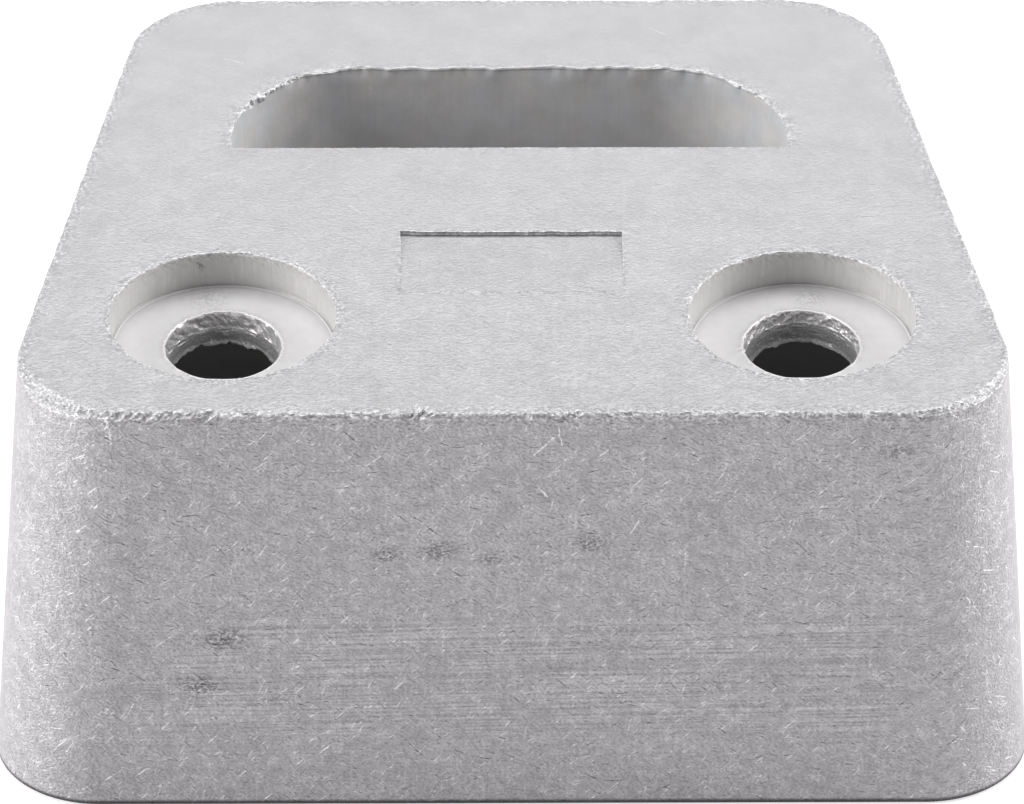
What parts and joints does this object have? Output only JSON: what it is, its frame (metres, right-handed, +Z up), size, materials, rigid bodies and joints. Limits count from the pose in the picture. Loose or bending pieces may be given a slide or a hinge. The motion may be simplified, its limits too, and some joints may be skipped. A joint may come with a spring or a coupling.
{
  "type": "sacrificial anode",
  "caption": "Cast block anode, tapered in plan, with counterbored bolt holes at its wide edge, a rounded window at its narrow edge and a shallow recess between.",
  "frame": {"origin": "middle of the underside", "axes": "+X along the wide front edge, +Y from the wide front edge to the narrow back edge, +Z up out of the face with the bolt seats"},
  "size_m": [0.0836, 0.0666, 0.0366],
  "materials": {
    "tumbled_aluminium": "as-cast aluminium alloy, tumbled to a pale matt grey with short random scratches and peened edges"
  },
  "bodies": {
    "root": {"anode_block": "tumbled_aluminium"}
  },
  "joints": []
}
